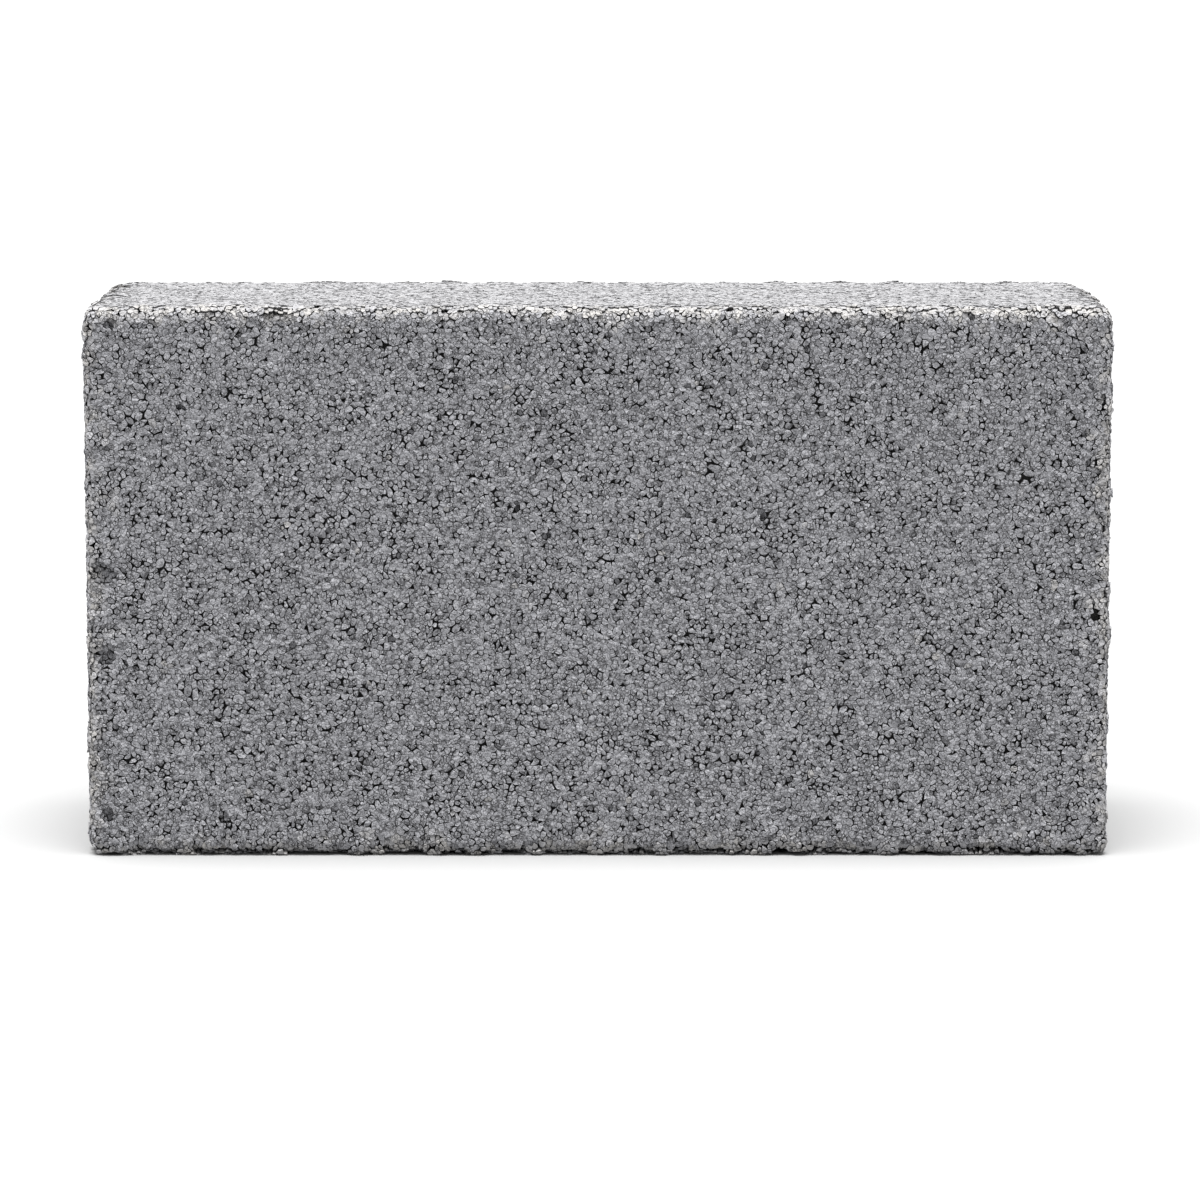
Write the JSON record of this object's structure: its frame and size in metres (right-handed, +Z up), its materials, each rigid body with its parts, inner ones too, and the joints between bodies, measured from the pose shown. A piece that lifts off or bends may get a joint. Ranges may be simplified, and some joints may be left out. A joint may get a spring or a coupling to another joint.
{
  "type": "concrete paving stone",
  "caption": "Rectangular square-edged concrete paving stone with worn arrises and a coarse granular surface, for laying on a sand bed or stacking.",
  "frame": {"origin": "middle of the long joint side that the stone stands on, at floor level", "axes": "+X along the length, +Y through the thickness from the wear face to the bed face, +Z up, across the width"},
  "size_m": [0.2, 0.07, 0.108],
  "materials": {
    "concrete": "mid-grey dry-pressed concrete, open granular surface with dark pores, matt"
  },
  "bodies": {
    "root": {"paving_stone": "concrete"}
  },
  "joints": []
}
